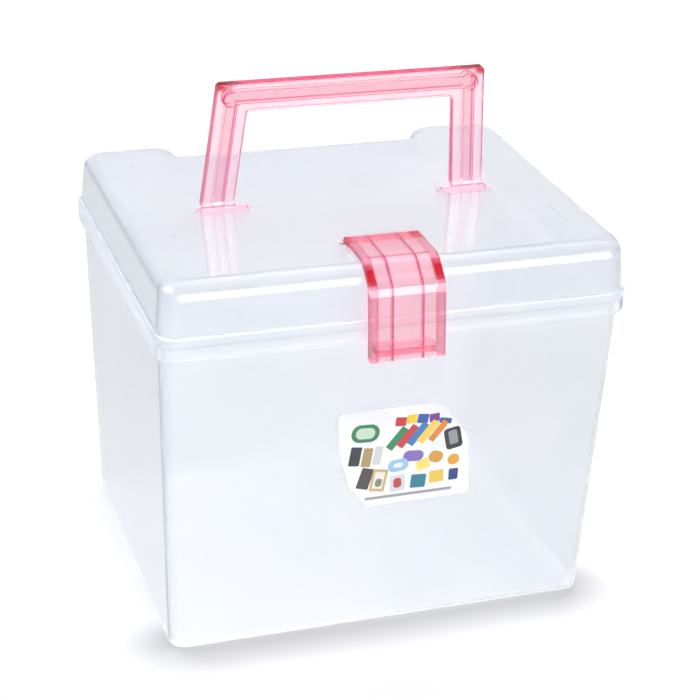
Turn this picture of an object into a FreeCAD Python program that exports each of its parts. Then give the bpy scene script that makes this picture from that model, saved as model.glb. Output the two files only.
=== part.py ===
import FreeCAD, Part
import math
import os

# Photo keeper case: a clear tub, a clear hinged lid, a folding carrying handle, a front latch
# and a sticker. Millimetres, +Z up, the front towards -Y. The origin is the middle of the
# footprint, on the surface that the tub stands on.

V = FreeCAD.Vector
ALONG_X = V(1, 0, 0)
NOWHERE = V(0, 0, 0)

# Rim, where tub and lid meet
rim_width = 250.0
rim_depth = 200.9
rim_corner = 11.3
rim_reach = 2.9

# Tub
tub_height = 178.2
foot_width = 232.3
foot_depth = 183.3
tub_corner = 9.2
wall = 2.0
tub_floor = 2.2
foot_round = 2.6
flange_height = 6.2
flange_slope = 3.1
flange_round = 1.2
lap_height = 3.0
lap_thickness = 1.4
lap_clearance = 0.3

# Lid
lid_height = 31.8
lip_height = 5.5
lip_round = 1.2
lip_reach = 1.75
skirt_draft = 2.1
lid_corner = 9.6
front_round = 9.0
edge_round = 6.0
round_steps = 8

# Step down behind the lid's top, between two rear shoulders
notch_half_width = 70.5
notch_depth = 20.9
notch_drop = 14.7
notch_corner = 4.0
shoulder_corner = 10.0

# Rear hinge: pins on the tub, clips on the lid
hinge_station = 50.0
hinge_behind = 4.25
hinge_below = 0.8
pin_radius = 2.0
pin_clearance = 0.05
clip_wall = 2.0
clip_width = 14.0
clip_gap = 0.4
clip_mouth = 3.2
ear_thickness = 3.2

# Handle
handle_pivot_y = -7.0
handle_pivot_drop = 2.3
handle_tilt = 7.0
handle_offset = 5.8
handle_thickness = 4.6
handle_reach = 71.8
grip_width = 16.0
leg_width = 17.9
leg_foot_x = 78.4
leg_top_x = 72.2
leg_start = 3.2
leg_round = 2.5
opening_round = 1.5
rib_width = 5.8
rib_edge = 6.0
grip_rib_edge = 4.4
rib_proud = 1.0
handle_soften = 0.7
rib_soften = 0.4
boss_radius = 4.8
boss_proud = 0.3
foot_radius = 3.9
foot_overhang = 1.1
foot_stub = 6.4
foot_pin_radius = 2.5
foot_pin_length = 2.0

# Latch
latch_setback = 35.45
latch_pivot_drop = 1.3
latch_half_width = 19.7
latch_barrel = 4.4
latch_barrel_inset = 0.4
latch_pin_radius = 1.5
latch_pin_length = 2.4
latch_top = 2.6
latch_shoulder_run = 27.8
latch_nose_run = 13.2
latch_nose_fall = 10.7
latch_tail_run = 4.5
latch_tail_fall = 37.7
shoulder_bend = 10.0
nose_bend = 12.0
plate_thickness = 1.7
cheek_width = 4.0
cheek_depth = 3.0
cheek_tail_depth = 4.2
latch_rib_x = 8.0
latch_rib_width = 1.0
latch_rib_depth = 2.6
latch_rib_tail_depth = 3.6
lid_clearance = 0.4
hook_thickness = 3.2
hook_bite = 1.65
hook_clearance = 0.55

# Pockets in the lid that carry the handle's feet and the latch's barrel
pocket_clearance = 0.5
pocket_wall = 1.6
pocket_end_gap = 0.4
pocket_end_wall = 2.6

# Raised outlines on the lid
pad_x = 96.4
pad_setback = 48.0
pad_width = 14.0
pad_length = 34.0
pad_corner = 5.0
pad_line = 1.2
pad_proud = 0.4
dash_x = -95.3
dash_setback = 33.5
dash_width = 11.0
dash_length = 4.0

# Sticker on the front
label_thickness = 0.25
label_left = -30.7
label_right = 44.3
label_bottom = 73.0
label_top = 130.0
label_corner = 3.0
label_shoulder = 14.0

# Worked out from the sizes above
lid_top = tub_height + lid_height
lip_top = tub_height + lip_height
notch_floor = lid_top - notch_drop
hinge_y = rim_depth / 2 + hinge_behind
hinge_z = tub_height - hinge_below
handle_pivot_z = lid_top - handle_pivot_drop
latch_pivot_y = latch_setback - rim_depth / 2
latch_pivot_z = lid_top - latch_pivot_drop
pad_y = pad_setback - rim_depth / 2
overrun = wall
level_tolerance = wall / 10
facing_share = 0.9
foot_profile_shares = ((-0.25, 0.0), (-0.25, 0.87), (0.77, 0.66), (0.77, 0.0))
label_outline_shares = ((0.236, 0.0), (1.0, 0.0), (0.962, 0.62), (0.743, 1.0), (0.0, 1.0), (0.02, 0.6),
                        (0.1, 0.24))


def rounded_wire(points, radii):
    """Closed outline through the points, with a tangent arc of its own radius at each corner."""
    count = len(points)
    bends = []
    for i, corner in enumerate(points):
        back = (points[i - 1] - corner).normalize()
        ahead = (points[(i + 1) % count] - corner).normalize()
        if radii[i] == 0:
            bends.append((corner, None, corner))
            continue
        half = back.getAngle(ahead) / 2
        reach = radii[i] / math.tan(half)
        middle = (back + ahead).normalize() * (radii[i] / math.sin(half) - radii[i])
        bends.append((corner + back * reach, corner + middle, corner + ahead * reach))
    edges = []
    for i, (start, middle, end) in enumerate(bends):
        if middle is not None:
            edges.append(Part.Arc(start, middle, end).toShape())
        edges.append(Part.LineSegment(end, bends[(i + 1) % count][0]).toShape())
    return Part.Wire(edges)


def rectangle(half_x, front, rear, height, front_corner, rear_corner):
    """Level rounded rectangle, symmetrical about X = 0."""
    points = [V(-half_x, front, height), V(half_x, front, height),
              V(half_x, rear, height), V(-half_x, rear, height)]
    return rounded_wire(points, [front_corner, front_corner, rear_corner, rear_corner])


def prism(wire, travel):
    """Solid of a flat outline moved along a vector."""
    return Part.Face(wire).extrude(travel)


def cylinder_along_x(radius, x_from, x_to, y, z):
    """Solid cylinder parallel to X."""
    return Part.makeCylinder(radius, x_to - x_from, V(x_from, y, z), ALONG_X)


def box_between(x_from, x_to, y_from, y_to, z_from, z_to):
    """Box given by its six limits."""
    return Part.makeBox(x_to - x_from, y_to - y_from, z_to - z_from, V(x_from, y_from, z_from))


def level_edges(shape, height):
    """Edges that lie wholly at one height."""
    found = []
    for edge in shape.Edges:
        box = edge.BoundBox
        if abs(box.ZMin - height) < level_tolerance and abs(box.ZMax - height) < level_tolerance:
            found.append(edge)
    return found


def tub_outline(height, inset):
    """Level outline of the tapered tub at a height, moved inwards by the inset."""
    share = height / tub_height
    half_x = foot_width / 2 + (rim_width / 2 - rim_reach - foot_width / 2) * share - inset
    half_y = foot_depth / 2 + (rim_depth / 2 - rim_reach - foot_depth / 2) * share - inset
    return rectangle(half_x, -half_y, half_y, height, tub_corner - inset, tub_corner - inset)


def rim_outline(height, inset):
    """Level outline of the rim band, shared by the tub's flange and the lid's lip."""
    half_y = rim_depth / 2 - inset
    corner = rim_corner - inset
    return rectangle(rim_width / 2 - inset, -half_y, half_y, height, corner, corner)


def rim_band(bottom, top, rounded_height, radius):
    """Slab of the rim's outline with its outer edge rounded at one height."""
    band = prism(rim_outline(bottom, 0), V(0, 0, top - bottom))
    return band.makeFillet(radius, level_edges(band, rounded_height))


def hinge_ears(station):
    """Two ears on the tub's flange and the pin that they hold."""
    radius = hinge_behind - hinge_below / 2
    inner = clip_width / 2 + clip_gap
    outer = inner + ear_thickness
    shape = cylinder_along_x(pin_radius, station - outer, station + outer, hinge_y, hinge_z)
    for x_from, x_to in ((station - outer, station - inner), (station + inner, station + outer)):
        root = rim_depth / 2 - rim_reach
        ear = cylinder_along_x(radius, x_from, x_to, hinge_y, hinge_z)
        web = box_between(x_from, x_to, root, hinge_y, hinge_z - radius, hinge_z)
        shape = shape.fuse([ear, web])
    return shape


def build_tub():
    """Open tapered box with a flange, an upstanding lap and the hinge pins."""
    under_flange = tub_height - flange_height - flange_slope
    body = Part.makeLoft([tub_outline(0, 0), tub_outline(tub_height, 0)], True, True)
    body = body.makeFillet(foot_round, level_edges(body, 0))
    slope = Part.makeLoft([tub_outline(under_flange, 0),
                           rim_outline(under_flange + flange_slope, 0)], True, True)
    band_bottom = tub_height - flange_height
    flange = rim_band(band_bottom, tub_height, band_bottom, flange_round)
    trimmed_slope = slope.common(prism(rim_outline(under_flange, flange_round / 2),
                                       V(0, 0, flange_slope)))
    lap_wire = tub_outline(tub_height, wall - lap_thickness)
    lap = prism(lap_wire, V(0, 0, lap_height))
    shape = body.fuse([trimmed_slope, flange, lap])
    for side in (-1, 1):
        shape = shape.fuse(hinge_ears(side * hinge_station))
    top = tub_height + lap_height + overrun
    inside = Part.makeLoft([tub_outline(tub_floor, wall), tub_outline(tub_height, wall)], True, True)
    mouth = prism(tub_outline(tub_height, wall), V(0, 0, top - tub_height))
    return shape.cut(inside).cut(mouth).removeSplitter()


def skirt_half_sizes(height):
    """Half width and half depth of the lid's outer walls at a height."""
    lean = skirt_draft * (height - lip_top) / (lid_top - lip_top)
    return rim_width / 2 - lip_reach - lean, rim_depth / 2 - lip_reach - lean


def skirt_outline(height, inset):
    """Level outline of the lid's walls below the step."""
    half_x, half_y = skirt_half_sizes(height)
    corner = lid_corner - inset
    return rectangle(half_x - inset, inset - half_y, half_y - inset, height, corner, corner)


def crown_outline(height, inset, front_in, edge_in):
    """Level outline of the lid's upper part, with the step cut out of its rear edge."""
    half_x, half_y = skirt_half_sizes(height)
    shrink = inset + edge_in
    right = half_x - shrink
    front = inset + front_in - half_y
    rear = half_y - shrink
    step_x = notch_half_width + shrink
    step_y = rim_depth / 2 - notch_depth - shrink
    points = [V(-right, front, height), V(right, front, height), V(right, rear, height),
              V(step_x, rear, height), V(step_x, step_y, height),
              V(-step_x, step_y, height), V(-step_x, rear, height), V(-right, rear, height)]
    outer = lid_corner - inset
    shoulder = shoulder_corner - shrink
    hollow = notch_corner + shrink
    return rounded_wire(points, [outer, outer, outer, shoulder, hollow, hollow, shoulder, outer])


def crown_solid(bottom, inset):
    """Upper part of the lid: straight walls, then edges rolled over to the flat top."""
    top = lid_top - inset
    front_radius = front_round - inset
    edge_radius = edge_round - inset
    sections = [crown_outline(bottom, inset, 0, 0)]
    for i in range(round_steps + 1):
        turn = math.radians(90 * i / round_steps)
        below = front_radius * (1 - math.sin(turn))
        front_in = front_radius * (1 - math.cos(turn))
        rise = max(edge_radius - below, 0)
        edge_in = edge_radius - math.sqrt(edge_radius ** 2 - rise ** 2)
        sections.append(crown_outline(top - below, inset, front_in, edge_in))
    return Part.makeLoft(sections, True, True)


def lid_body(inset):
    """Solid inside the lid's outer skin, or inside its inner skin with an inset of one wall."""
    floor = notch_floor - inset
    start = lip_top if inset == 0 else tub_height - overrun
    lower = Part.makeLoft([skirt_outline(start, inset), skirt_outline(floor, inset)], True, True)
    return lower.fuse(crown_solid(floor, inset))


def clip(station):
    """Knuckle on the lid that snaps over the tub's hinge pin, open below."""
    x_from = station - clip_width / 2
    x_to = station + clip_width / 2
    bore = pin_radius + pin_clearance
    radius = bore + clip_wall
    ring = cylinder_along_x(radius, x_from, x_to, hinge_y, hinge_z)
    root = rim_depth / 2 - lip_reach
    neck = box_between(x_from, x_to, root, hinge_y, tub_height, hinge_z + radius)
    hole = cylinder_along_x(bore, x_from - overrun, x_to + overrun, hinge_y, hinge_z)
    mouth = box_between(x_from - overrun, x_to + overrun, hinge_y - clip_mouth / 2,
                        hinge_y + clip_mouth / 2, hinge_z - radius - overrun, hinge_z)
    return ring.fuse(neck), hole.fuse(mouth)


def pocket(x_from, x_to, y, z, barrel, bore):
    """Rounded pocket under the lid's top: the shell, and all that is cut from it."""
    room = barrel + pocket_clearance
    end = pocket_end_wall
    shell = cylinder_along_x(room + pocket_wall, x_from - end, x_to + end, y, z)
    below = box_between(x_from - end - overrun, x_to + end + overrun, y - 2 * barrel - pocket_wall,
                        y + 2 * barrel + pocket_wall, z - 2 * barrel - pocket_wall,
                        lid_top - wall / 2)
    hollow = cylinder_along_x(room, x_from, x_to, y, z)
    slot = box_between(x_from, x_to, y - room, y + room, z, lid_top + overrun)
    bearing = cylinder_along_x(bore, x_from - end, x_to + end, y, z)
    return shell.common(below), hollow.fuse([slot, bearing])


def handle_pockets():
    """Pockets for both feet of the handle."""
    bore = foot_pin_radius + pin_clearance
    outer = leg_foot_x + foot_overhang + pocket_end_gap
    inner = leg_foot_x - leg_width - foot_stub - pocket_end_gap
    spans = ((inner, outer), (-outer, -inner))
    return [pocket(a, b, handle_pivot_y, handle_pivot_z, foot_radius, bore) for a, b in spans]


def latch_pocket():
    """Trough for the latch's barrel, with room at both ends for the plate that turns down into it."""
    half = latch_half_width + pocket_end_gap
    bore = latch_pin_radius + pin_clearance
    return pocket(-half, half, latch_pivot_y, latch_pivot_z, latch_barrel, bore)


def raised_bar(x, y, width, length, corner):
    """Low rounded bar on the lid's top."""
    wire = rectangle(width / 2, -length / 2, length / 2, lid_top - wall / 2, corner, corner)
    bar = prism(wire, V(0, 0, wall / 2 + pad_proud))
    bar.translate(V(x, y, 0))
    return bar


def pad_outline(side):
    """Raised outline of a long rounded rectangle on the lid's top."""
    outer = raised_bar(side * pad_x, pad_y, pad_width, pad_length, pad_corner)
    line = 2 * pad_line
    return outer.cut(raised_bar(side * pad_x, pad_y, pad_width - line, pad_length - line, pad_corner - pad_line))


def lap_rebate():
    """Room in the lid for the tub's upstanding lap, with the inner corners of the lid's walls."""
    room = wall - lap_thickness - lap_clearance
    half_y = rim_depth / 2 - rim_reach - room
    corner = lid_corner - wall
    wire = rectangle(rim_width / 2 - rim_reach - room, -half_y, half_y, tub_height, corner, corner)
    return prism(wire, V(0, 0, lap_height + lap_clearance))


def build_lid():
    """Hollow lid with its lip, rear step, pockets, raised outlines and hinge clips."""
    shape = lid_body(0).fuse(rim_band(tub_height, lip_top, lip_top, lip_round))
    shape = shape.cut(lid_body(wall))
    shape = shape.cut(lap_rebate())
    for shell, hollow in handle_pockets() + [latch_pocket()]:
        shape = shape.fuse(shell).cut(hollow)
    for side in (-1, 1):
        knuckle, hole = clip(side * hinge_station)
        shape = shape.fuse([knuckle, pad_outline(side)]).cut(hole)
    dash = raised_bar(dash_x, rim_depth / 2 - dash_setback, dash_width, dash_length, dash_length / 3)
    return shape.fuse(dash).removeSplitter()


def handle_wire(edge_leg, edge_grip, band_leg, band_grip, radius_out, radius_in):
    """Outline of a splayed arch in the handle's own plane, set in from the outer edge."""
    lean = (leg_foot_x - leg_top_x) / (handle_reach - leg_start)
    top = handle_reach - edge_grip
    under = top - band_grip
    foot_out = leg_foot_x - edge_leg
    foot_in = foot_out - band_leg
    right = [V(foot_out, 0, leg_start), V(foot_out - lean * (top - leg_start), 0, top)]
    opening = [V(foot_in - lean * (under - leg_start), 0, under), V(foot_in, 0, leg_start)]
    left = [V(-p.x, 0, p.z) for p in right]
    mirrored = [V(-p.x, 0, p.z) for p in opening]
    points = [left[0], left[1], right[1], right[0], opening[1], opening[0], mirrored[0], mirrored[1]]
    return rounded_wire(points, [0, radius_out, radius_out, 0, 0, radius_in, radius_in, 0])


def handle_layer(wire, half, soften):
    """Arch with softened edges, reaching one distance to both sides of the handle's middle plane."""
    layer = prism(wire, V(0, 2 * half, 0))
    rims = [edge for face in layer.Faces if abs(face.normalAt(0, 0).y) > facing_share
            for edge in face.Edges if edge.BoundBox.ZMax > leg_start + level_tolerance]
    layer = layer.makeFillet(soften, rims)
    layer.translate(V(0, handle_offset - half, 0))
    return layer


def handle_foot(side):
    """Barrel, pins and web at the lower end of one leg."""
    outer = leg_foot_x + foot_overhang
    inner = leg_foot_x - leg_width - foot_stub
    x_from = min(side * outer, side * inner)
    x_to = max(side * outer, side * inner)
    barrel = cylinder_along_x(foot_radius, x_from, x_to, 0, 0)
    pins = cylinder_along_x(foot_pin_radius, x_from - foot_pin_length, x_to + foot_pin_length, 0, 0)
    front = handle_offset - handle_thickness / 2
    rear = handle_offset + handle_thickness / 2
    shares = [V(0, s * foot_radius, t * foot_radius) for s, t in foot_profile_shares]
    rise = leg_start + pocket_wall
    points = shares[:2] + [V(0, front, rise), V(0, rear, rise), V(0, rear, leg_start)] + shares[2:]
    web = prism(Part.makePolygon(points + [points[0]]), V(leg_width, 0, 0))
    web.translate(V(leg_foot_x - leg_width if side > 0 else -leg_foot_x, 0, 0))
    return barrel.fuse([pins, web])


def build_handle():
    """Splayed arch with a central rib on both faces, made upright at its pivot and then tilted."""
    half = handle_thickness / 2
    plate = handle_wire(0, 0, leg_width, grip_width, leg_round, opening_round)
    grip_rib = grip_width - grip_rib_edge - rib_edge + rib_proud
    rib = handle_wire(rib_edge, grip_rib_edge, rib_width, grip_rib, opening_round, opening_round)
    shape = handle_layer(plate, half, handle_soften).fuse(handle_layer(rib, half + rib_proud, rib_soften))
    lean = (leg_foot_x - leg_top_x) / (handle_reach - leg_start)
    boss_z = handle_reach - grip_rib_edge - grip_rib / 2
    boss_x = leg_foot_x - rib_edge - rib_width / 2 - lean * (boss_z - leg_start)
    reach = half + rib_proud + boss_proud
    for side in (-1, 1):
        boss = Part.makeCylinder(boss_radius, 2 * reach, V(side * boss_x, handle_offset - reach, boss_z),
                                 V(0, 1, 0))
        shape = shape.fuse([boss, handle_foot(side)])
    shape = shape.removeSplitter()
    shape.rotate(NOWHERE, ALONG_X, handle_tilt)
    shape.translate(V(0, handle_pivot_y, handle_pivot_z))
    return shape


def latch_path():
    """Outer line of the latch in the YZ plane: flat, sloping nose, tail that leans outwards."""
    start = V(0, latch_pivot_y, lid_top + latch_top)
    shoulder = start + V(0, -latch_shoulder_run, 0)
    nose = shoulder + V(0, -latch_nose_run, -latch_nose_fall)
    tail = nose + V(0, -latch_tail_run, -latch_tail_fall)
    return [start, shoulder, nose, tail]


def inner_path(depths):
    """The latch's line moved inwards, each of its three stretches by its own depth."""
    outer = latch_path()
    lines = []
    for (a, b), depth in zip(zip(outer, outer[1:]), depths):
        along = (b - a).normalize()
        inward = along.cross(ALONG_X).normalize()
        inward = inward if inward.z < 0 or inward.y > 0 else inward * -1
        lines.append((a + inward * depth, b + inward * depth, along))
    points = [lines[0][0]]
    for (_, _, first), (origin, _, second) in zip(lines, lines[1:]):
        gap = origin - points[-1]
        turn = first.y * second.z - first.z * second.y
        run = (gap.y * second.z - gap.z * second.y) / turn
        points.append(points[-1] + first * run)
    return points + [lines[-1][1]]


def latch_strip(depths, x_from, x_to):
    """Stretch of the latch's section between two places across its width."""
    outer = latch_path()
    inner = inner_path(depths)
    inner.reverse()
    radii = [0, shoulder_bend, nose_bend, 0]
    inner_radii = [0, nose_bend - depths[1], shoulder_bend - depths[1], 0]
    wire = rounded_wire(outer + inner, radii + inner_radii)
    strip = prism(wire, V(x_to - x_from, 0, 0))
    strip.translate(V(x_from, 0, 0))
    return strip


def build_latch():
    """Bent plate with cheeks, two ribs, a hook under the rim and a barrel that turns in the lid."""
    half = latch_half_width
    flat_depth = latch_top - lid_clearance
    plate = latch_strip((plate_thickness, plate_thickness, plate_thickness), -half, half)
    parts = []
    for side in (-1, 1):
        a, b = sorted((side * half, side * (half - cheek_width)))
        parts.append(latch_strip((flat_depth, cheek_depth, cheek_tail_depth), a, b))
        a = side * latch_rib_x - latch_rib_width / 2
        parts.append(latch_strip((flat_depth, latch_rib_depth, latch_rib_tail_depth),
                                 a, a + latch_rib_width))
    barrel_half = half - latch_barrel_inset
    pin_half = barrel_half + latch_pin_length
    parts.append(cylinder_along_x(latch_barrel, -barrel_half, barrel_half, latch_pivot_y, latch_pivot_z))
    parts.append(cylinder_along_x(latch_pin_radius, -pin_half, pin_half, latch_pivot_y, latch_pivot_z))
    tail = latch_path()[-1]
    hook_top = tub_height - flange_height - hook_bite * flange_slope / rim_reach - hook_clearance
    hook_rear = hook_bite - rim_depth / 2
    hook_front = tail.y + plate_thickness / 2 + latch_tail_run / latch_tail_fall * (hook_top - tail.z)
    parts.append(box_between(cheek_width - half, half - cheek_width, hook_front, hook_rear,
                             hook_top - hook_thickness, hook_top))
    return plate.fuse(parts).removeSplitter()


def build_label():
    """Sticker with two cut corners, lying on the sloping front of the tub."""
    width = label_right - label_left
    height = label_top - label_bottom
    corners = [V(label_left + s * width, 0, label_bottom + t * height) for s, t in label_outline_shares]
    radii = [label_corner, label_corner, label_shoulder, label_shoulder, label_corner,
             label_shoulder, label_shoulder]
    wire = rounded_wire(corners, radii)
    sheet = prism(wire, V(0, -label_thickness, 0))
    spread = rim_depth / 2 - rim_reach - foot_depth / 2
    sheet.rotate(NOWHERE, ALONG_X, math.degrees(math.atan2(spread, tub_height)))
    sheet.translate(V(0, -foot_depth / 2, 0))
    return sheet


os.makedirs("parts", exist_ok=True)
nodes = {
    "tub": build_tub(),
    "lid": build_lid(),
    "handle": build_handle(),
    "latch": build_latch(),
    "label": build_label(),
}
for name, shape in nodes.items():
    box = shape.BoundBox
    print(name, "solids", len(shape.Solids), "valid", shape.isValid(), "volume", round(shape.Volume),
          [round(v, 2) for v in (box.XMin, box.XMax, box.YMin, box.YMax, box.ZMin, box.ZMax)])
    shape.exportStep("parts/" + name + ".step")
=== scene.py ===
import math

import bpy
import numpy as np
from mathutils import Matrix, Vector

# Looks of the photo keeper case: frosted clear tub, glossy clear lid, pink handle and latch,
# printed sticker. Metres, +Z up, the front towards -Y, as in the frame.

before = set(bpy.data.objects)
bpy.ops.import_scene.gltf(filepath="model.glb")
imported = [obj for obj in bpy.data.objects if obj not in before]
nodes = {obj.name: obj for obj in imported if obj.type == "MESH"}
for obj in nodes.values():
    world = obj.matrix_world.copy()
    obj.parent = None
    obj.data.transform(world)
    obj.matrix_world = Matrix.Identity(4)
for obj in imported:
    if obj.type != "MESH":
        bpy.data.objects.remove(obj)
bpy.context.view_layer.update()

# Camera: where it stands, how it is turned, and its focal length for a 36 mm sensor
CAMERA_PLACE = (-0.31695, -0.93280, 0.59176)
CAMERA_AZIMUTH = -19.19
CAMERA_ELEVATION = 25.68
CAMERA_ROLL = 2.17
CAMERA_LENS = 101.685
SENSOR_WIDTH = 36.0

# One millimetre in metres
MM = 0.001

# Meshes: faces meet smoothly below this angle, and doubled points join within this distance
SMOOTH_ANGLE = math.radians(32)
WELD_DISTANCE = 2e-6

# Plastic surface: scales of cloud, grain and scuffs, the range of each noise that is used, the
# scuffs' directions (turn, stretch) and the grain's bump (strength, metres)
CLEAR_SCALES = (16.0, 1500.0, 42.0)
PINK_SCALES = (45.0, 1900.0, 55.0)
PAPER_SCALES = (30.0, 2600.0, 60.0)
CLOUD_DETAIL, GRAIN_DETAIL, SCUFF_DETAIL = 3.0, 2.0, 1.0
CLOUD_RANGE = (0.32, 0.68)
GRAIN_RANGE = (0.3, 0.7)
SCUFF_RANGE = (0.68, 0.74)
SCUFF_DIRECTIONS = ((0.3, 0.5, 0.9), (1.0, 22.0, 14.0)), ((1.1, 0.2, -0.6), (24.0, 1.0, 12.0))
GRAIN_BUMP = (0.1, 0.00004)
PLASTIC_IOR = 1.49

# Roughness from the smoothest to the dullest grain, and what a scuff adds
TUB_ROUGHNESS = (0.08, 0.16)
LID_ROUGHNESS = (0.02, 0.05)
PINK_ROUGHNESS = (0.04, 0.08)
PAPER_ROUGHNESS = (0.34, 0.46)
CLEAR_SCUFF = 0.03
PINK_SCUFF = 0.05

# Clear plastic, with painted shade on the outermost lip of both sides: colours as linear values
TUB_TINT = (0.835, 0.849, 0.866)
TUB_HAZE = (0.815, 0.831, 0.854)
LID_TINT = (0.810, 0.829, 0.858)
LID_HAZE = (0.790, 0.811, 0.846)
# Painted shade: the colour the outermost lip at both sides darkens to; its roughness makes it duller
LIP_PAINTED_SHADE = (0.76, 0.775, 0.81)
LIP_ROUGHNESS = 0.6
LIP_SIDE = (0.1228, 0.1236)
TUB_CLEARNESS = 0.76
LID_CLEARNESS = 0.70
CLEAR_SHADOW = (0.965, 0.968, 0.975)

# Pink plastic: pale and cloudy tint of each piece and the deep tint of its painted shade, the red of its
# reddest places, and the colour and density that it takes on inside
HANDLE_TINTS = (1.0, 0.945, 0.966), (1.0, 0.915, 0.946), (0.82, 0.10, 0.24)
LATCH_TINTS = (0.91, 0.765, 0.785), (0.88, 0.735, 0.755), (0.66, 0.11, 0.22)
PINK_RED = (0.70, 0.02, 0.05)
PINK_ABSORPTION = (0.99, 0.10, 0.38)
HANDLE_DENSITY = 38.0
LATCH_DENSITY = 108.0
PINK_CLEARNESS = 0.90
PINK_SHADOW = (0.985, 0.93, 0.95)

# Where the handle's plane stands, and both borders of the rib and the inner edge of each arm, from
# the arm's outer edge
HANDLE_PIVOT = (0.0, -0.007, 0.2077)
HANDLE_TILT = math.radians(7)
HANDLE_REACH = 0.0718
LEG_FOOT = 0.0784
LEG_START = 0.0032
LEG_LEAN = 0.0904
LEG_RIB = (0.0060, 0.0118, 0.0179)
GRIP_RIB = (0.0044, 0.0110, 0.0160)

# Painted shade on an arm, dark lines on its edges and rib borders and a deeper tint on the thicker rib:
# outer edge, rib's border near it, rib's other border, inner edge, rib
LEFT_LEG_SHADES = (0.95, 0.30, 1.0, 0.20, 0.20)
RIGHT_LEG_SHADES = (0.20, 1.0, 0.30, 0.95, 0.20)
GRIP_SHADES = (0.95, 0.35, 1.0, 0.20, 0.26)

# Painted shade lines on the handle: half width and soft margin on the outer edge, rib's borders, inner edge,
# ring
OUTER_LINE = (0.0006, 0.0007)
RIB_LINE = (0.0003, 0.0004)
INNER_LINE = (0.0003, 0.0006)
RING_LINE = (0.0004, 0.0005)
RIB_MARGIN = 0.0003

# Handle's upper corners: their red tip by the distances from leg and grip, and their ring of painted shade.
# At the feet the painted shade lines fade in between two heights above the pivot
TIP_FROM_LEG = (0.003, 0.007)
TIP_FROM_GRIP = (0.002, 0.006)
RING_PLACE = 0.0080
RING_RADIUS = 0.0040
RING_FADE = 0.0030
FOOT_FADE = (0.003, 0.006)

# Latch: (place across, half width, soft margin) of its painted shade lines, its cheek, and its slope's
# height
LATCH_RIB = (0.0080, 0.0002, 0.0005)
LATCH_BORDER = (0.0157, 0.0002, 0.0005)
LATCH_EDGE = (0.0197, 0.0004, 0.0006)
LATCH_CHEEK = (0.0153, 0.0161)
LATCH_SLOPE = (0.2059, 0.0025, 0.0012)
# Painted shade: how dark the latch's lines and its cheeks become
LATCH_LINE_SHADE = 0.5
LATCH_CHEEK_SHADE = 0.3

# Sticker's paper, its clear film (weight, roughness) and the soft edge of a printed shape
PAPER = (0.97, 0.975, 0.98)
PAPER_SHADE = (0.74, 0.75, 0.79)
PAPER_CLOUD = 0.35
FILM = (0.35, 0.18)
PRINT_EDGE = 0.00012

# Lamps: (name, place, aimed at, width, height, radiance, colour)
LAMPS = (
    ("front_softbox", (-0.12, -1.45, 0.56), (0.0, -0.08, 0.17), 0.90, 0.90, 4.15, (1.0, 1.0, 1.0)),
    ("front_shine", (0.50, -1.32, 0.455), (0.0, -0.08, 0.17), 0.70, 0.90, 7.0, (1.0, 1.0, 1.0)),
    ("top_softbox", (0.25, 0.60, 1.55), (0.0, 0.0, 0.10), 1.10, 1.10, 4.5, (1.0, 1.0, 1.0)),
    ("left_panel", (-1.35, -0.25, 0.75), (0.0, 0.0, 0.15), 0.50, 0.80, 1.25, (0.42, 0.62, 1.0)),
    ("left_shine", (-0.87, -0.09, 1.33), (-0.117, -0.092, 0.207), 0.90, 0.75, 9.0, (1.0, 1.0, 1.0)),
)

# World: light on the object, and brightness seen above, between two heights of the view
WORLD_FILL = 0.36
WORLD_ABOVE = 0.40
WORLD_RISE = (0.05, 0.7)

# Floor: own glow near and far, as seen through the plastic, and a painted pool of light inside the case from
# left to right
FLOOR_SIZE = 30.0
FLOOR_COLOUR = (0.86, 0.86, 0.87)
FLOOR_ROUGHNESS = 0.9
FLOOR_GLOW = (0.16, 0.75)
FLOOR_GLOW_AWAY = (0.3, 1.6)
FLOOR_GLOW_THROUGH = 0.12
# Painted pool of light on the floor under the case, brighter at its left
FLOOR_PAINTED_POOL = (0.98, 0.55)
FOOT_HALF = (0.116, 0.092)
FOOT_BORDER = (0.96, 1.0)

# Shadow at the foot: how far it reaches, its depth behind and in front, and the brightness it keeps
CONTACT_REACH = 0.036
CONTACT_DEPTH = (0.40, 1.25)
CONTACT_LEAST = 0.54
CONTACT_SAMPLES = 8


def material(name):
    """New node material: the material, its nodes, links and Principled shader."""
    made = bpy.data.materials.new(name)
    made.use_nodes = True
    tree = made.node_tree
    return made, tree.nodes, tree.links, tree.nodes["Principled BSDF"]


def add(tree_nodes, kind, label, **values):
    """Node of a kind with its label and its own properties."""
    node = tree_nodes.new(kind)
    node.label = label
    for key, value in values.items():
        setattr(node, key, value)
    return node


def math_node(tree, operation, first, second=None, third=None, clamp=False):
    """Maths on sockets or numbers: the result's socket."""
    node = tree.nodes.new("ShaderNodeMath")
    node.operation = operation
    node.use_clamp = clamp
    for socket, value in zip(node.inputs, (first, second, third)):
        if value is None:
            continue
        if isinstance(value, (int, float)):
            socket.default_value = value
        else:
            tree.links.new(value, socket)
    return node.outputs[0]


def ramp_between(tree, value, low, high, out_low=0.0, out_high=1.0, smooth=True):
    """Value carried from one range to another, held at both ends: the result's socket."""
    node = tree.nodes.new("ShaderNodeMapRange")
    node.interpolation_type = "SMOOTHSTEP" if smooth else "LINEAR"
    tree.links.new(value, node.inputs["Value"])
    limits = (("From Min", low), ("From Max", high), ("To Min", out_low), ("To Max", out_high))
    for key, number in limits:
        node.inputs[key].default_value = number
    return node.outputs["Result"]


def mix_colours(tree, factor, first, second):
    """Blend of two colours, each a socket or a linear triple: the result's socket."""
    node = tree.nodes.new("ShaderNodeMix")
    node.data_type = "RGBA"
    for key, value in (("Factor", factor), ("A", first), ("B", second)):
        socket = node.inputs[key]
        if isinstance(value, tuple):
            socket.default_value = (*value, 1.0)
        elif isinstance(value, (int, float)):
            socket.default_value = value
        else:
            tree.links.new(value, socket)
    return node.outputs["Result"]


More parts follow.
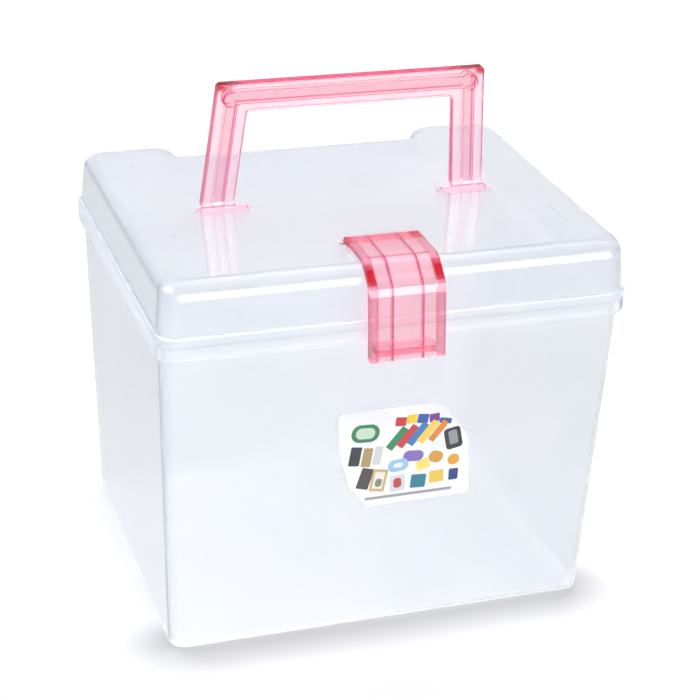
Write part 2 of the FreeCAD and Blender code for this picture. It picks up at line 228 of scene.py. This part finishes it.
def mix_values(tree, factor, first, second):
    """Blend of two values by a factor, each a socket: the result's socket."""
    node = tree.nodes.new("ShaderNodeMix")
    for key, value in (("Factor", factor), ("A", first), ("B", second)):
        tree.links.new(value, node.inputs[key])
    return node.outputs["Result"]


def new_group(name, inputs, outputs):
    """Shader node group with named sockets: the group, its input node and its output node."""
    group = bpy.data.node_groups.new(name, "ShaderNodeTree")
    for label, kind, value in inputs:
        socket = group.interface.new_socket(label, in_out="INPUT", socket_type=kind)
        if value is not None:
            socket.default_value = value
    for label, kind in outputs:
        group.interface.new_socket(label, in_out="OUTPUT", socket_type=kind)
    return group, group.nodes.new("NodeGroupInput"), group.nodes.new("NodeGroupOutput")


def place_group(tree, group, **values):
    """Group placed in a material, with its inputs linked or set."""
    node = tree.nodes.new("ShaderNodeGroup")
    node.node_tree = group
    for key, value in values.items():
        socket = node.inputs[key.replace("_", " ")]
        if isinstance(value, (int, float, tuple)):
            socket.default_value = value
        else:
            tree.links.new(value, socket)
    return node


def moulded_surface_group():
    """Moulded plastic: slow clouds in the melt, fine grain of the mould, short hairline scuffs.

    Clouds are noise at the Cloud Scale. Grain is noise at the Grain Scale. Scuffs are noise on
    coordinates stretched along one direction, kept where it passes a threshold, twice, crossed.
    """
    group, given, result = new_group(
        "moulded_surface",
        [("Vector", "NodeSocketVector", None), ("Cloud Scale", "NodeSocketFloat", 18.0),
         ("Grain Scale", "NodeSocketFloat", 1400.0), ("Scuff Scale", "NodeSocketFloat", 60.0)],
        [("Clouds", "NodeSocketFloat"), ("Grain", "NodeSocketFloat"), ("Scuffs", "NodeSocketFloat")])
    vector = given.outputs["Vector"]
    clouds = group.nodes.new("ShaderNodeTexNoise")
    grain = group.nodes.new("ShaderNodeTexNoise")
    for node, label, detail in ((clouds, "Cloud Scale", CLOUD_DETAIL), (grain, "Grain Scale", GRAIN_DETAIL)):
        group.links.new(vector, node.inputs["Vector"])
        group.links.new(given.outputs[label], node.inputs["Scale"])
        node.inputs["Detail"].default_value = detail
    group.links.new(ramp_between(group, clouds.outputs["Fac"], *CLOUD_RANGE), result.inputs["Clouds"])
    group.links.new(grain.outputs["Fac"], result.inputs["Grain"])
    marks = []
    for turn, stretch in SCUFF_DIRECTIONS:
        mapping = group.nodes.new("ShaderNodeMapping")
        group.links.new(vector, mapping.inputs["Vector"])
        mapping.inputs["Rotation"].default_value = turn
        mapping.inputs["Scale"].default_value = stretch
        streaks = group.nodes.new("ShaderNodeTexNoise")
        group.links.new(mapping.outputs["Vector"], streaks.inputs["Vector"])
        group.links.new(given.outputs["Scuff Scale"], streaks.inputs["Scale"])
        streaks.inputs["Detail"].default_value = SCUFF_DETAIL
        marks.append(ramp_between(group, streaks.outputs["Fac"], *SCUFF_RANGE))
    group.links.new(math_node(group, "MAXIMUM", *marks), result.inputs["Scuffs"])
    return group


def print_shape_group():
    """Printed shape: a rounded box, turned about its middle, as a soft-edged mask.

    With p the place across the sticker, turned and centred, and q = |p| - (half size - corner),
    the distance is |max(q, 0)| + min(max(qx, qz), 0) - corner; the mask is 1 where it is below 0.
    """
    group, given, result = new_group(
        "print_shape",
        [("Vector", "NodeSocketVector", None), ("Centre", "NodeSocketVector", None),
         ("Turn", "NodeSocketFloat", 0.0), ("Half Width", "NodeSocketFloat", 0.005),
         ("Half Height", "NodeSocketFloat", 0.005), ("Corner", "NodeSocketFloat", 0.001)],
        [("Mask", "NodeSocketFloat")])
    shift = group.nodes.new("ShaderNodeVectorMath")
    shift.operation = "SUBTRACT"
    group.links.new(given.outputs["Vector"], shift.inputs[0])
    group.links.new(given.outputs["Centre"], shift.inputs[1])
    turn = group.nodes.new("ShaderNodeVectorRotate")
    turn.rotation_type = "Y_AXIS"
    group.links.new(shift.outputs["Vector"], turn.inputs["Vector"])
    group.links.new(given.outputs["Turn"], turn.inputs["Angle"])
    split = group.nodes.new("ShaderNodeSeparateXYZ")
    group.links.new(turn.outputs["Vector"], split.inputs["Vector"])
    corner = given.outputs["Corner"]
    over = []
    for axis, half in (("X", "Half Width"), ("Z", "Half Height")):
        flat = math_node(group, "SUBTRACT", given.outputs[half], corner)
        over.append(math_node(group, "SUBTRACT", math_node(group, "ABSOLUTE", split.outputs[axis]), flat))
    outside = [math_node(group, "POWER", math_node(group, "MAXIMUM", q, 0.0), 2.0) for q in over]
    far = math_node(group, "SQRT", math_node(group, "ADD", *outside))
    inside = math_node(group, "MINIMUM", math_node(group, "MAXIMUM", *over), 0.0)
    distance = math_node(group, "SUBTRACT", math_node(group, "ADD", far, inside), corner)
    mask = ramp_between(group, distance, -PRINT_EDGE, PRINT_EDGE, 1.0, 0.0)
    group.links.new(mask, result.inputs["Mask"])
    return group


def skin_of(tree, surface, where, scales):
    """Moulded surface placed in a material at its own scales."""
    clouds, grain, scuffs = scales
    return place_group(tree, surface, Vector=where, Cloud_Scale=clouds, Grain_Scale=grain,
                       Scuff_Scale=scuffs)


def plastic_relief(tree, skin, roughness, scuff):
    """Roughness by the grain, higher on scuffs, and the grain's fine bump on the shader: the
    roughness socket."""
    base = ramp_between(tree, skin.outputs["Grain"], *GRAIN_RANGE, *roughness, smooth=False)
    bump = add(tree.nodes, "ShaderNodeBump", "mould grain")
    for key, number in zip(("Strength", "Distance"), GRAIN_BUMP):
        bump.inputs[key].default_value = number
    tree.links.new(skin.outputs["Grain"], bump.inputs["Height"])
    tree.links.new(bump.outputs["Normal"], tree.nodes["Principled BSDF"].inputs["Normal"])
    return math_node(tree, "MULTIPLY_ADD", skin.outputs["Scuffs"], scuff, base, clamp=True)


def see_through(tree, clearness, passed):
    """Sends light through the plastic: its share by the clearness, and for the lamps' light that
    falls on what lies behind, the colour that is let past, so that the plastic shades it softly."""
    shader = tree.nodes["Principled BSDF"]
    shader.inputs["IOR"].default_value = PLASTIC_IOR
    shader.inputs["Transmission Weight"].default_value = clearness
    through = tree.nodes.new("ShaderNodeBsdfTransparent")
    through.inputs["Color"].default_value = (*passed, 1.0)
    choice = tree.nodes.new("ShaderNodeMixShader")
    path = tree.nodes.new("ShaderNodeLightPath")
    tree.links.new(path.outputs["Is Shadow Ray"], choice.inputs[0])
    tree.links.new(shader.outputs["BSDF"], choice.inputs[1])
    tree.links.new(through.outputs["BSDF"], choice.inputs[2])
    tree.links.new(choice.outputs["Shader"], tree.nodes["Material Output"].inputs["Surface"])


def clear_plastic(name, surface, tint, haze, clearness, roughness):
    """Transparent plastic: tint and haze by the clouds, with painted shade on the outermost lip at both
    sides, darker there, and a duller surface there."""
    made, tree_nodes, links, shader = material(name)
    tree = made.node_tree
    where = add(tree_nodes, "ShaderNodeTexCoord", "place").outputs["Object"]
    skin = skin_of(tree, surface, where, CLEAR_SCALES)
    across = tree_nodes.new("ShaderNodeSeparateXYZ")
    links.new(where, across.inputs["Vector"])
    lip = ramp_between(tree, math_node(tree, "ABSOLUTE", across.outputs["X"]), *LIP_SIDE)
    body = mix_colours(tree, skin.outputs["Clouds"], tint, haze)
    # Painted shade: the outermost lip at both sides darkens to the painted shade colour
    links.new(mix_colours(tree, lip, body, LIP_PAINTED_SHADE), shader.inputs["Base Color"])
    rough = plastic_relief(tree, skin, roughness, CLEAR_SCUFF)
    rough = math_node(tree, "MAXIMUM", rough, math_node(tree, "MULTIPLY", lip, LIP_ROUGHNESS))
    links.new(rough, shader.inputs["Roughness"])
    see_through(tree, clearness, CLEAR_SHADOW)
    return made


def band(tree, value, middle, half, soft):
    """1 where the value lies within half of the middle, falling to 0 over the soft margin."""
    away = math_node(tree, "ABSOLUTE", math_node(tree, "SUBTRACT", value, middle))
    return ramp_between(tree, away, half, half + soft, 1.0, 0.0)


def arm_painted_shade(tree, distance, rib, shades):
    """Painted shade across one arm of the handle, by the distance from its outer edge: a soft dark line
    on the outer edge, on both borders of the rib and on the inner edge, and a band on the rib, partly the
    deeper tint of the thicker plastic there."""
    near, far, inner = rib
    outer_shade, near_shade, far_shade, inner_shade, rib_face_shade = shades
    marks = ((0.0, OUTER_LINE, outer_shade), (near, RIB_LINE, near_shade), (far, RIB_LINE, far_shade),
             (inner, INNER_LINE, inner_shade),
             ((near + far) / 2, ((far - near) / 2, RIB_MARGIN), rib_face_shade))
    deep = 0.0
    for middle, width, share in marks:
        mark = math_node(tree, "MULTIPLY", band(tree, distance, middle, *width), share)
        deep = math_node(tree, "MAXIMUM", mark, deep)
    return deep


def handle_painted_shade_and_red(tree, where):
    """Painted shade on the handle, in its own plane: with x across and z along the legs,
    a leg's distance is foot - lean (z - start) - |x| and the grip's is reach - z. A painted dark half ring
    stands in each upper corner. Redness: the outermost tip of each corner."""
    turned = tree.nodes.new("ShaderNodeMapping")
    turned.vector_type = "TEXTURE"
    turned.inputs["Location"].default_value = HANDLE_PIVOT
    turned.inputs["Rotation"].default_value = (HANDLE_TILT, 0.0, 0.0)
    tree.links.new(where, turned.inputs["Vector"])
    split = tree.nodes.new("ShaderNodeSeparateXYZ")
    tree.links.new(turned.outputs["Vector"], split.inputs["Vector"])
    edge = math_node(tree, "MULTIPLY_ADD", split.outputs["Z"], -LEG_LEAN, LEG_FOOT + LEG_LEAN * LEG_START)
    leg = math_node(tree, "SUBTRACT", edge, math_node(tree, "ABSOLUTE", split.outputs["X"]))
    grip = math_node(tree, "SUBTRACT", HANDLE_REACH, split.outputs["Z"])
    on_right = math_node(tree, "GREATER_THAN", split.outputs["X"], 0.0)
    legs = mix_values(tree, on_right, arm_painted_shade(tree, leg, LEG_RIB, LEFT_LEG_SHADES),
                      arm_painted_shade(tree, leg, LEG_RIB, RIGHT_LEG_SHADES))
    on_grip = math_node(tree, "LESS_THAN", grip, leg)
    lines = mix_values(tree, on_grip, legs, arm_painted_shade(tree, grip, GRIP_RIB, GRIP_SHADES))
    tip = math_node(tree, "MULTIPLY", ramp_between(tree, leg, *TIP_FROM_LEG, 1.0, 0.0),
                    ramp_between(tree, grip, *TIP_FROM_GRIP, 1.0, 0.0))
    above_lid = ramp_between(tree, split.outputs["Z"], *FOOT_FADE)
    aside = [math_node(tree, "ABSOLUTE", math_node(tree, "SUBTRACT", v, RING_PLACE)) for v in (leg, grip)]
    squares = [math_node(tree, "POWER", v, 2.0) for v in aside]
    ring = band(tree, math_node(tree, "SQRT", math_node(tree, "ADD", *squares)), RING_RADIUS, *RING_LINE)
    outer_half = ramp_between(tree, leg, RING_PLACE, RING_PLACE + RING_FADE, 1.0, 0.0)
    # deep: amount of painted shade, from the lines and the corner rings
    deep = math_node(tree, "MAXIMUM", math_node(tree, "MULTIPLY", lines, above_lid),
                     math_node(tree, "MULTIPLY", ring, outer_half))
    return deep, tip


def latch_painted_shade_and_red(tree, where):
    """Painted shade on the latch by |x|: dark lines on both ribs, on the edge and on the cheek's
    border, and a band on the cheeks. Redness: the cheeks, on the slope between top and nose."""
    split = tree.nodes.new("ShaderNodeSeparateXYZ")
    tree.links.new(where, split.inputs["Vector"])
    across = math_node(tree, "ABSOLUTE", split.outputs["X"])
    cheek = ramp_between(tree, across, *LATCH_CHEEK)
    slope = band(tree, split.outputs["Z"], *LATCH_SLOPE)
    deep = math_node(tree, "MAXIMUM", band(tree, across, *LATCH_RIB),
                     math_node(tree, "MULTIPLY", cheek, LATCH_CHEEK_SHADE))
    for line in (LATCH_EDGE, LATCH_BORDER):
        mark = math_node(tree, "MULTIPLY", band(tree, across, *line), LATCH_LINE_SHADE)
        deep = math_node(tree, "MAXIMUM", deep, mark)
    return deep, math_node(tree, "MULTIPLY", cheek, slope)


def pink_plastic(name, surface, tints, density, depth):
    """Translucent pink plastic: pale surface, deepened by the piece's painted shade, and absorption inside.
    """
    made, tree_nodes, links, shader = material(name)
    tree = made.node_tree
    where = add(tree_nodes, "ShaderNodeTexCoord", "place").outputs["Object"]
    skin = skin_of(tree, surface, where, PINK_SCALES)
    clear, cloudy, shade_tint = tints
    pale = mix_colours(tree, skin.outputs["Clouds"], clear, cloudy)
    # deep is the piece's painted shade, red its reddest places
    deep, red = depth(tree, where)
    colour = mix_colours(tree, red, mix_colours(tree, deep, pale, shade_tint), PINK_RED)
    links.new(colour, shader.inputs["Base Color"])
    links.new(plastic_relief(tree, skin, PINK_ROUGHNESS, PINK_SCUFF), shader.inputs["Roughness"])
    absorb = add(tree_nodes, "ShaderNodeVolumeAbsorption", "depth of colour")
    absorb.inputs["Color"].default_value = (*PINK_ABSORPTION, 1.0)
    absorb.inputs["Density"].default_value = density
    links.new(absorb.outputs["Volume"], tree_nodes["Material Output"].inputs["Volume"])
    see_through(tree, PINK_CLEARNESS, PINK_SHADOW)
    return made


# Printed shapes: centre across and up, turn in degrees, half width, half height, corner (mm), colour
PRINT = (
    ((-15.5, 117.0), -3, 7.6, 5.2, 5.0, (0.03, 0.24, 0.09)),
    ((-15.5, 117.0), -3, 5.2, 3.2, 3.0, (0.60, 0.74, 0.60)),
    ((3.5, 121.5), -6, 3.0, 2.6, 0.5, (0.62, 0.03, 0.05)),
    ((9.5, 122.3), 4, 2.8, 2.6, 0.5, (0.95, 0.62, 0.04)),
    ((15.5, 121.8), -8, 3.0, 2.7, 0.5, (0.03, 0.10, 0.40)),
    ((21.8, 121.6), 5, 2.8, 2.4, 0.5, (0.20, 0.04, 0.30)),
    ((28.0, 119.0), -12, 3.4, 1.6, 0.6, (0.03, 0.09, 0.34)),
    ((2.0, 111.8), -38, 2.2, 7.2, 0.5, (0.03, 0.25, 0.10)),
    ((7.6, 112.4), -38, 2.2, 7.2, 0.5, (0.60, 0.05, 0.06)),
    ((13.2, 113.0), -38, 2.2, 7.2, 0.5, (0.05, 0.20, 0.50)),
    ((18.8, 113.6), -38, 2.2, 7.2, 0.5, (0.92, 0.66, 0.10)),
    ((24.4, 113.4), -38, 1.9, 6.6, 0.5, (0.80, 0.25, 0.03)),
    ((33.0, 108.0), 12, 4.6, 6.4, 2.0, (0.03, 0.03, 0.04)),
    ((33.0, 108.5), 12, 2.4, 4.2, 1.2, (0.30, 0.31, 0.34)),
    ((11.5, 100.2), -5, 5.6, 3.2, 3.1, (0.24, 0.16, 0.50)),
    ((3.4, 95.6), 6, 5.6, 3.6, 3.4, (0.32, 0.58, 0.84)),
    ((3.4, 95.6), 6, 2.6, 1.4, 1.3, (0.80, 0.88, 0.94)),
    ((17.0, 94.4), 20, 3.6, 3.0, 1.2, (0.96, 0.76, 0.16)),
    ((24.0, 98.0), -20, 4.0, 3.4, 3.2, (0.72, 0.34, 0.06)),
    ((34.0, 95.0), 0, 3.2, 3.2, 3.0, (0.85, 0.38, 0.04)),
    ((-20.5, 104.0), -8, 3.0, 5.6, 0.6, (0.04, 0.04, 0.05)),
    ((-14.0, 102.6), -8, 2.6, 5.6, 0.6, (0.45, 0.32, 0.14)),
    ((-8.2, 103.0), -8, 2.2, 5.4, 0.6, (0.66, 0.68, 0.72)),
    ((-14.5, 90.0), -16, 3.4, 6.2, 0.6, (0.08, 0.07, 0.07)),
    ((-7.0, 88.0), -10, 4.2, 6.6, 0.6, (0.60, 0.46, 0.20)),
    ((-7.0, 88.0), -10, 2.8, 5.0, 0.4, (0.86, 0.84, 0.78)),
    ((-7.0, 86.6), -10, 1.8, 2.4, 1.6, (0.20, 0.26, 0.16)),
    ((3.5, 85.0), 4, 4.0, 4.8, 0.8, (0.70, 0.72, 0.76)),
    ((3.5, 85.0), 4, 2.2, 3.0, 2.0, (0.55, 0.06, 0.07)),
    ((15.0, 84.6), -4, 4.2, 4.0, 0.8, (0.03, 0.22, 0.30)),
    ((25.0, 86.0), 3, 4.0, 3.6, 0.8, (0.86, 0.60, 0.08)),
    ((34.5, 86.0), 0, 2.6, 3.4, 0.8, (0.02, 0.05, 0.22)),
    ((10.0, 77.6), 0, 24.0, 0.8, 0.7, (0.35, 0.36, 0.40)),
)


def sticker(surface, shape):
    """Printed paper sticker under a clear film: paper, then the printed shapes one over another."""
    made, tree_nodes, links, shader = material("sticker_print")
    tree = made.node_tree
    where = add(tree_nodes, "ShaderNodeTexCoord", "place").outputs["Object"]
    skin = skin_of(tree, surface, where, PAPER_SCALES)
    shaded = math_node(tree, "MULTIPLY", skin.outputs["Clouds"], PAPER_CLOUD)
    colour = mix_colours(tree, shaded, PAPER, PAPER_SHADE)
    for (across, up), turn, half_width, half_height, corner, ink in PRINT:
        mask = place_group(tree, shape, Vector=where, Turn=math.radians(turn),
                           Centre=(across * MM, 0.0, up * MM), Half_Width=half_width * MM,
                           Half_Height=half_height * MM, Corner=corner * MM)
        colour = mix_colours(tree, mask.outputs["Mask"], colour, ink)
    links.new(colour, shader.inputs["Base Color"])
    rough = ramp_between(tree, skin.outputs["Grain"], *GRAIN_RANGE, *PAPER_ROUGHNESS, smooth=False)
    links.new(rough, shader.inputs["Roughness"])
    for key, number in zip(("Coat Weight", "Coat Roughness"), FILM):
        shader.inputs[key].default_value = number
    return made


def dress(node, finish):
    """Material and shading of a CAD node: its loose triangles joined, smooth up to the set angle."""
    piece = nodes[node]
    for held in piece.material_slots:
        held.material = finish
    weld = piece.modifiers.new("join", "NODES")
    weld.node_group = smooth_shading
    even = piece.modifiers.new("even", "WEIGHTED_NORMAL")
    even.keep_sharp = True
    even.weight = 50


def smooth_shading_group():
    """Geometry: joins doubled points, then shades smooth except where faces meet at a sharp angle."""
    group = bpy.data.node_groups.new("joined_and_smooth", "GeometryNodeTree")
    group.interface.new_socket("Geometry", in_out="INPUT", socket_type="NodeSocketGeometry")
    group.interface.new_socket("Geometry", in_out="OUTPUT", socket_type="NodeSocketGeometry")
    given = group.nodes.new("NodeGroupInput")
    result = group.nodes.new("NodeGroupOutput")
    plain = group.nodes.new("GeometryNodeRemoveAttribute")
    plain.inputs["Name"].default_value = "custom_normal"
    join = group.nodes.new("GeometryNodeMergeByDistance")
    join.inputs["Distance"].default_value = WELD_DISTANCE
    faces = group.nodes.new("GeometryNodeSetShadeSmooth")
    faces.domain = "FACE"
    edges = group.nodes.new("GeometryNodeSetShadeSmooth")
    edges.domain = "EDGE"
    angle = group.nodes.new("GeometryNodeInputMeshEdgeAngle")
    small = group.nodes.new("FunctionNodeCompare")
    small.data_type = "FLOAT"
    small.operation = "LESS_THAN"
    small.inputs["B"].default_value = SMOOTH_ANGLE
    group.links.new(angle.outputs["Unsigned Angle"], small.inputs["A"])
    group.links.new(small.outputs["Result"], edges.inputs["Shade Smooth"])
    for first, second in ((given, plain), (plain, join), (join, faces), (faces, edges), (edges, result)):
        group.links.new(first.outputs[0], second.inputs[0])
    return group


def rectangle_mesh(name, half_x, half_y):
    """Level rectangle through the origin, as a grid of two by two points."""
    across, deep = np.meshgrid((-half_x, half_x), (-half_y, half_y))
    points = np.stack([across.ravel(), deep.ravel(), np.zeros(4)], axis=1)
    mesh = bpy.data.meshes.new(name)
    mesh.from_pydata(points.tolist(), [], [(0, 1, 3, 2)])
    piece = bpy.data.objects.new(name, mesh)
    bpy.context.scene.collection.objects.link(piece)
    return piece


def seen_directly(tree):
    """1 for rays from the camera and those mirrored or passed on from it, 0 after any scatter."""
    path = tree.nodes.new("ShaderNodeLightPath")
    seen = math_node(tree, "MAXIMUM", path.outputs["Is Camera Ray"], path.outputs["Is Glossy Ray"])
    seen = math_node(tree, "MAXIMUM", seen, path.outputs["Is Transmission Ray"])
    fresh = math_node(tree, "LESS_THAN", path.outputs["Diffuse Depth"], 0.5)
    return math_node(tree, "MULTIPLY", seen, fresh)


def build_floor():
    """Pale floor that takes the object's shadow and runs out into the white background."""
    floor = rectangle_mesh("floor", FLOOR_SIZE, FLOOR_SIZE)
    made, tree_nodes, links, shader = material("floor_pale")
    tree = made.node_tree
    shader.inputs["Roughness"].default_value = FLOOR_ROUGHNESS
    shader.inputs["Specular IOR Level"].default_value = 0.0
    where = tree_nodes.new("ShaderNodeTexCoord").outputs["Object"]
    away = tree_nodes.new("ShaderNodeVectorMath")
    away.operation = "LENGTH"
    links.new(where, away.inputs[0])
    far = ramp_between(tree, away.outputs["Value"], *FLOOR_GLOW_AWAY, *FLOOR_GLOW)
    path = tree_nodes.new("ShaderNodeLightPath")
    level = tree_nodes.new("ShaderNodeMix")
    links.new(path.outputs["Is Camera Ray"], level.inputs["Factor"])
    split = tree_nodes.new("ShaderNodeSeparateXYZ")
    links.new(where, split.inputs["Vector"])
    sides = [math_node(tree, "DIVIDE", math_node(tree, "ABSOLUTE", split.outputs[axis]), half)
             for axis, half in zip("XY", FOOT_HALF)]
    under = ramp_between(tree, math_node(tree, "MAXIMUM", *sides), *FOOT_BORDER, 1.0, 0.0)
    # Painted pool of light under the case, seen through the plastic, from its left side to its right
    painted_pool = ramp_between(tree, split.outputs["X"], -FOOT_HALF[0], FOOT_HALF[0], *FLOOR_PAINTED_POOL)
    inside = tree_nodes.new("ShaderNodeMix")
    links.new(under, inside.inputs["Factor"])
    inside.inputs["A"].default_value = FLOOR_GLOW_THROUGH
    links.new(painted_pool, inside.inputs["B"])
    links.new(inside.outputs["Result"], level.inputs["A"])
    links.new(far, level.inputs["B"])
    near = tree_nodes.new("ShaderNodeAmbientOcclusion")
    near.inputs["Distance"].default_value = CONTACT_REACH
    near.samples = CONTACT_SAMPLES
    depth = ramp_between(tree, split.outputs["Y"], -FOOT_HALF[1], -FOOT_HALF[1] + CONTACT_REACH,
                         CONTACT_DEPTH[1], CONTACT_DEPTH[0])
    shaded = math_node(tree, "MULTIPLY", path.outputs["Is Camera Ray"], depth)
    covered = math_node(tree, "SUBTRACT", 1.0, near.outputs["AO"])
    kept = math_node(tree, "SUBTRACT", 1.0, math_node(tree, "MULTIPLY", covered, shaded))
    kept = math_node(tree, "MAXIMUM", kept, CONTACT_LEAST)
    links.new(mix_colours(tree, kept, (0.0, 0.0, 0.0), FLOOR_COLOUR), shader.inputs["Base Color"])
    links.new(mix_colours(tree, kept, (0.0, 0.0, 0.0), (1.0, 1.0, 1.0)), shader.inputs["Emission Color"])
    glow = math_node(tree, "MULTIPLY", seen_directly(tree), level.outputs["Result"])
    links.new(glow, shader.inputs["Emission Strength"])
    floor.data.materials.append(made)
    return floor


def build_world():
    """White surroundings, held lower for the light that falls on the object."""
    world = bpy.data.worlds.new("studio")
    bpy.context.scene.world = world
    world.use_nodes = True
    tree = world.node_tree
    background = tree.nodes["Background"]
    background.inputs["Color"].default_value = (1.0, 1.0, 1.0, 1.0)
    direction = tree.nodes.new("ShaderNodeTexCoord")
    height = tree.nodes.new("ShaderNodeSeparateXYZ")
    tree.links.new(direction.outputs["Generated"], height.inputs["Vector"])
    seen = ramp_between(tree, height.outputs["Z"], *WORLD_RISE, 1.0, WORLD_ABOVE)
    path = tree.nodes.new("ShaderNodeLightPath")
    seen = math_node(tree, "MAXIMUM", seen, path.outputs["Is Camera Ray"])
    chosen = tree.nodes.new("ShaderNodeMix")
    chosen.inputs["A"].default_value = WORLD_FILL
    tree.links.new(seen_directly(tree), chosen.inputs["Factor"])
    tree.links.new(seen, chosen.inputs["B"])
    tree.links.new(chosen.outputs["Result"], background.inputs["Strength"])


def build_lamps():
    """Soft rectangular lamps, each aimed at a point; power is radiance times area times pi.
    The shines show only as reflections, the others only as light."""
    for name, place, target, width, height, radiance, colour in LAMPS:
        data = bpy.data.lights.new(name, "AREA")
        data.shape = "RECTANGLE"
        data.size = width
        data.size_y = height
        data.energy = radiance * width * height * math.pi
        data.color = colour
        lamp = bpy.data.objects.new(name, data)
        lamp.location = place
        lamp.visible_glossy = name.endswith("shine")
        lamp.visible_diffuse = not lamp.visible_glossy
        lamp.rotation_euler = (Vector(target) - Vector(place)).to_track_quat("-Z", "Y").to_euler()
        bpy.context.scene.collection.objects.link(lamp)


def build_camera():
    """Camera turned about Z by its azimuth, tipped down by its elevation and rolled."""
    around, up, roll = (math.radians(v) for v in (CAMERA_AZIMUTH, CAMERA_ELEVATION, CAMERA_ROLL))
    back = Vector((math.sin(around) * math.cos(up), -math.cos(around) * math.cos(up), math.sin(up)))
    right = (-back).cross(Vector((0, 0, 1))).normalized()
    above = right.cross(-back)
    right_rolled = math.cos(roll) * right + math.sin(roll) * above
    above_rolled = math.cos(roll) * above - math.sin(roll) * right
    data = bpy.data.cameras.new("camera")
    data.sensor_width = SENSOR_WIDTH
    data.lens = CAMERA_LENS
    camera = bpy.data.objects.new("camera", data)
    turn = Matrix((right_rolled, above_rolled, back)).transposed()
    camera.matrix_world = Matrix.Translation(CAMERA_PLACE) @ turn.to_4x4()
    bpy.context.scene.collection.objects.link(camera)
    bpy.context.scene.camera = camera


bpy.context.scene.view_settings.view_transform = "Standard"
smooth_shading = smooth_shading_group()
surface = moulded_surface_group()
shape = print_shape_group()
dress("tub", clear_plastic("tub_plastic_frosted", surface, TUB_TINT, TUB_HAZE, TUB_CLEARNESS, TUB_ROUGHNESS))
dress("lid", clear_plastic("lid_plastic_glossy", surface, LID_TINT, LID_HAZE, LID_CLEARNESS, LID_ROUGHNESS))
dress("handle", pink_plastic("handle_plastic_pink", surface, HANDLE_TINTS, HANDLE_DENSITY, handle_painted_shade_and_red))
dress("latch", pink_plastic("latch_plastic_pink", surface, LATCH_TINTS, LATCH_DENSITY, latch_painted_shade_and_red))
dress("label", sticker(surface, shape))
build_floor()
build_world()
build_lamps()
build_camera()
